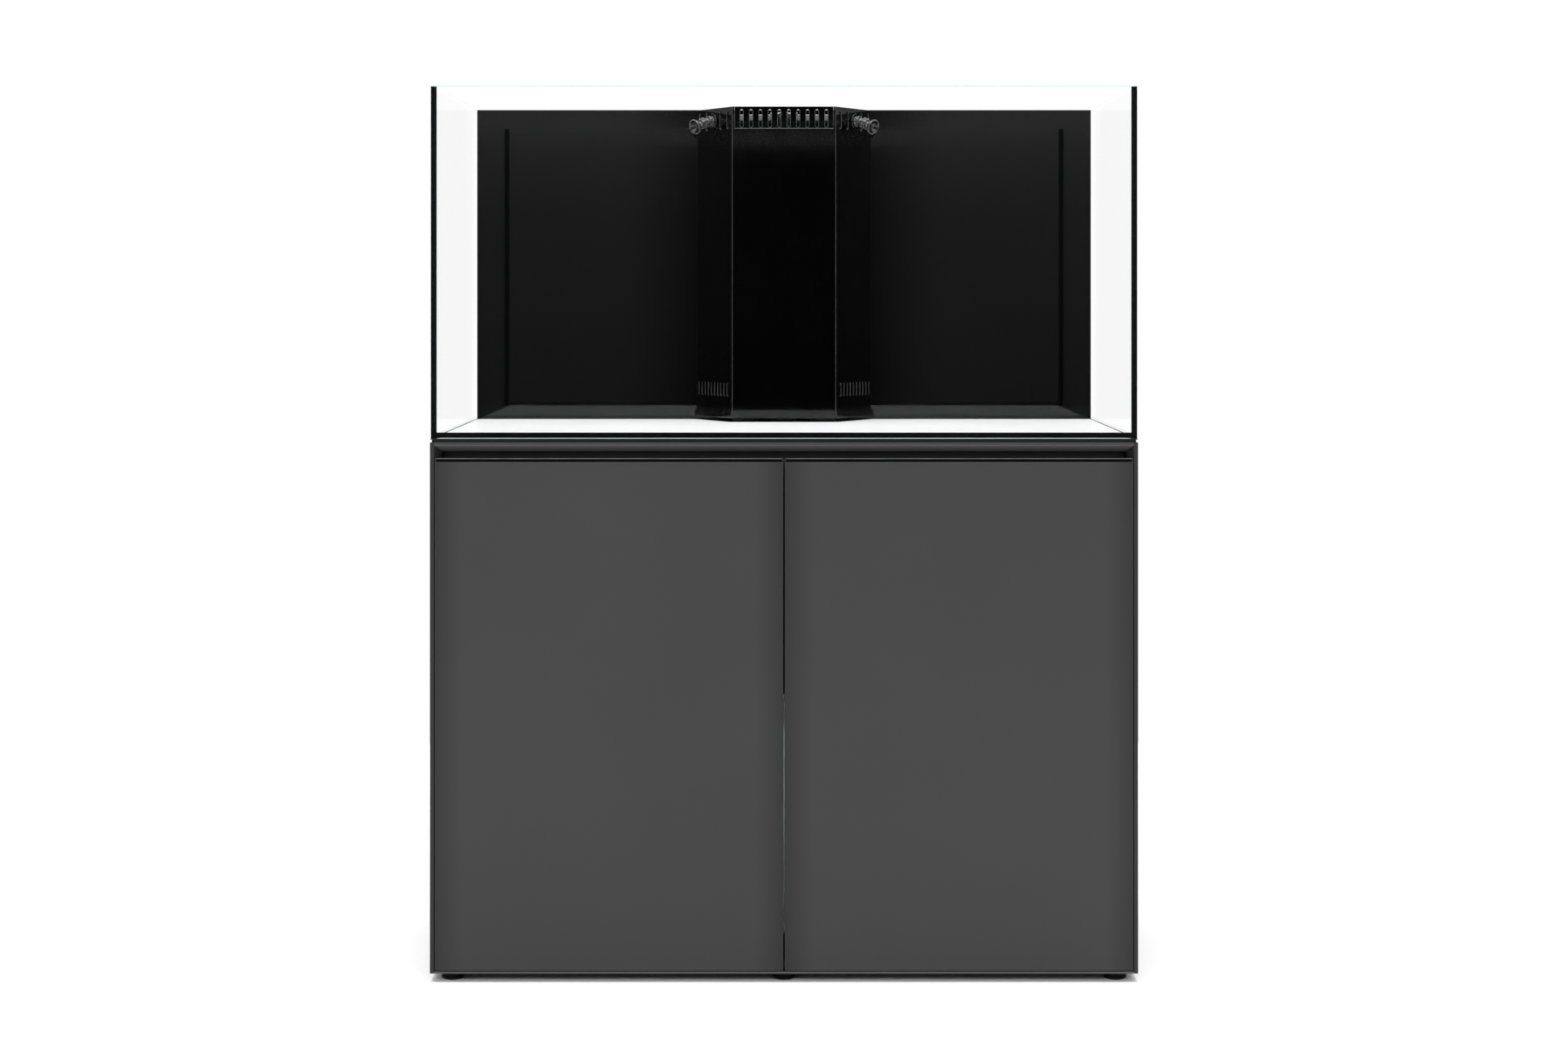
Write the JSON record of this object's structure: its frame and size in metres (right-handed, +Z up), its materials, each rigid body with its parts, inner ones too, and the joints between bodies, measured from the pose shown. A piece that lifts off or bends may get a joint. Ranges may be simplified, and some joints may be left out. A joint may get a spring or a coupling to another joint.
{
  "type": "aquarium on stand",
  "caption": "Rimless glass aquarium with a black weir box and swivelling return nozzles on a dark two-door cabinet with a finger-pull recess and levelling feet.",
  "frame": {"origin": "on the floor, under the middle of the cabinet", "axes": "+X to the right seen from the front, +Y to the back, +Z up; the doors face -Y"},
  "size_m": [1.2, 0.6, 1.5196],
  "materials": {
    "laminate": "satin anthracite laminate on board",
    "dark_laminate": "matt dark laminate on board",
    "clear_glass": "clear polished low-iron glass",
    "black_glass": "gloss black backed glass",
    "silicone": "cured black silicone",
    "black_acrylic": "polished black acrylic",
    "nozzle_plastic": "dark moulded plastic",
    "pull_strip": "dark anodised strip",
    "pipe_plastic": "dark grey rigid pipe",
    "fitting_plastic": "grey moulded fitting",
    "lever_plastic": "red moulded lever",
    "pump_casing": "dark moulded casing",
    "hinge_steel": "nickel plated",
    "mat_foam": "closed-cell foam mat",
    "foot_rubber": "black moulded foot"
  },
  "bodies": {
    "stand_and_tank": {"left_side_panel": "laminate", "right_side_panel": "laminate", "bottom_panel": "laminate", "top_rail": "laminate", "top_panel": "dark_laminate", "recess_board": "dark_laminate", "inner_divider": "dark_laminate", "back_panel": "dark_laminate", "left_lower_hinge_arm": "hinge_steel", "left_upper_hinge_arm": "hinge_steel", "right_lower_hinge_arm": "hinge_steel", "right_upper_hinge_arm": "hinge_steel", "levelling_mat": "mat_foam", "floor_pane": "clear_glass", "front_pane": "clear_glass", "back_pane": "black_glass", "left_pane": "clear_glass", "right_pane": "clear_glass", "silicone_seams": "silicone", "weir_box": "black_acrylic", "weir_base_trim": "black_acrylic", "left_return_socket": "nozzle_plastic", "right_return_socket": "nozzle_plastic", "main_drain_bulkhead": "fitting_plastic", "return_bulkhead": "fitting_plastic", "emergency_drain_bulkhead": "fitting_plastic", "main_standpipe": "pipe_plastic", "emergency_standpipe": "pipe_plastic", "return_riser": "pipe_plastic", "main_drain_pipe": "pipe_plastic", "emergency_drain_pipe": "pipe_plastic", "return_pipe": "pipe_plastic", "sump_tank": "clear_glass", "sump_inlet_baffle": "clear_glass", "sump_pump_baffle": "clear_glass", "filter_cup_holder": "black_acrylic", "return_pump": "pump_casing"},
    "left_door": {"left_door": "laminate", "left_door_pull": "pull_strip", "left_lower_hinge_cup": "hinge_steel", "left_upper_hinge_cup": "hinge_steel"},
    "right_door": {"right_door": "laminate", "right_door_pull": "pull_strip", "right_lower_hinge_cup": "hinge_steel", "right_upper_hinge_cup": "hinge_steel"},
    "weir_comb": {"weir_comb": "black_acrylic"},
    "filter_cup": {"filter_cup": "black_acrylic"},
    "drain_valve_lever": {"drain_valve_lever": "lever_plastic"},
    "left_return_swivel": {"left_return_swivel": "nozzle_plastic"},
    "left_return_nozzle": {"left_return_nozzle": "nozzle_plastic"},
    "right_return_swivel": {"right_return_swivel": "nozzle_plastic"},
    "right_return_nozzle": {"right_return_nozzle": "nozzle_plastic"},
    "front_left_foot": {"front_left_foot": "foot_rubber"},
    "front_middle_foot": {"front_middle_foot": "foot_rubber"},
    "front_right_foot": {"front_right_foot": "foot_rubber"},
    "back_left_foot": {"back_left_foot": "foot_rubber"},
    "back_middle_foot": {"back_middle_foot": "foot_rubber"},
    "back_right_foot": {"back_right_foot": "foot_rubber"}
  },
  "joints": [
    {"name": "door_left_swing", "type": "hinge", "parent": "stand_and_tank", "child": "left_door", "pos_m": [-0.5909, -0.299, 0.4541], "axis": [0, 0, -1], "range_deg": [0, 105]},
    {"name": "door_right_swing", "type": "hinge", "parent": "stand_and_tank", "child": "right_door", "pos_m": [0.5909, -0.299, 0.4541], "axis": [0, 0, 1], "range_deg": [0, 105]},
    {"name": "comb_lift", "type": "slide", "parent": "stand_and_tank", "child": "weir_comb", "axis": [0, 0, 1], "range_m": [0, 0.06]},
    {"name": "cup_lift", "type": "slide", "parent": "stand_and_tank", "child": "filter_cup", "axis": [0, 0, 1], "range_m": [0, 0.12]},
    {"name": "drain_lever_turn", "type": "hinge", "parent": "stand_and_tank", "child": "drain_valve_lever", "pos_m": [-0.074, 0.1977, 0.8], "axis": [0, 1, 0], "range_deg": [0, 90]},
    {"name": "left_swivel_turn", "type": "hinge", "parent": "stand_and_tank", "child": "left_return_swivel", "pos_m": [-0.14445, 0.22926, 1.4936], "axis": [0, 0, 1], "range_deg": [-20, 20]},
    {"name": "left_nozzle_tilt", "type": "hinge", "parent": "left_return_swivel", "child": "left_return_nozzle", "pos_m": [-0.15716, 0.2174, 1.48727], "axis": [0.682, -0.7314, 0], "range_deg": [-20, 20]},
    {"name": "right_swivel_turn", "type": "hinge", "parent": "stand_and_tank", "child": "right_return_swivel", "pos_m": [0.14445, 0.22926, 1.4936], "axis": [0, 0, 1], "range_deg": [-20, 20]},
    {"name": "right_nozzle_tilt", "type": "hinge", "parent": "right_return_swivel", "child": "right_return_nozzle", "pos_m": [0.15716, 0.2174, 1.48727], "axis": [0.682, 0.7314, 0], "range_deg": [-20, 20]},
    {"name": "turn_front_left_foot", "type": "hinge", "parent": "stand_and_tank", "child": "front_left_foot", "pos_m": [-0.565, -0.266, 0.008], "axis": [0, 0, 1], "range_deg": [-180, 180]},
    {"name": "turn_front_middle_foot", "type": "hinge", "parent": "stand_and_tank", "child": "front_middle_foot", "pos_m": [0, -0.266, 0.008], "axis": [0, 0, 1], "range_deg": [-180, 180]},
    {"name": "turn_front_right_foot", "type": "hinge", "parent": "stand_and_tank", "child": "front_right_foot", "pos_m": [0.565, -0.266, 0.008], "axis": [0, 0, 1], "range_deg": [-180, 180]},
    {"name": "turn_back_left_foot", "type": "hinge", "parent": "stand_and_tank", "child": "back_left_foot", "pos_m": [-0.565, 0.266, 0.008], "axis": [0, 0, 1], "range_deg": [-180, 180]},
    {"name": "turn_back_middle_foot", "type": "hinge", "parent": "stand_and_tank", "child": "back_middle_foot", "pos_m": [0, 0.266, 0.008], "axis": [0, 0, 1], "range_deg": [-180, 180]},
    {"name": "turn_back_right_foot", "type": "hinge", "parent": "stand_and_tank", "child": "back_right_foot", "pos_m": [0.565, 0.266, 0.008], "axis": [0, 0, 1], "range_deg": [-180, 180]}
  ]
}
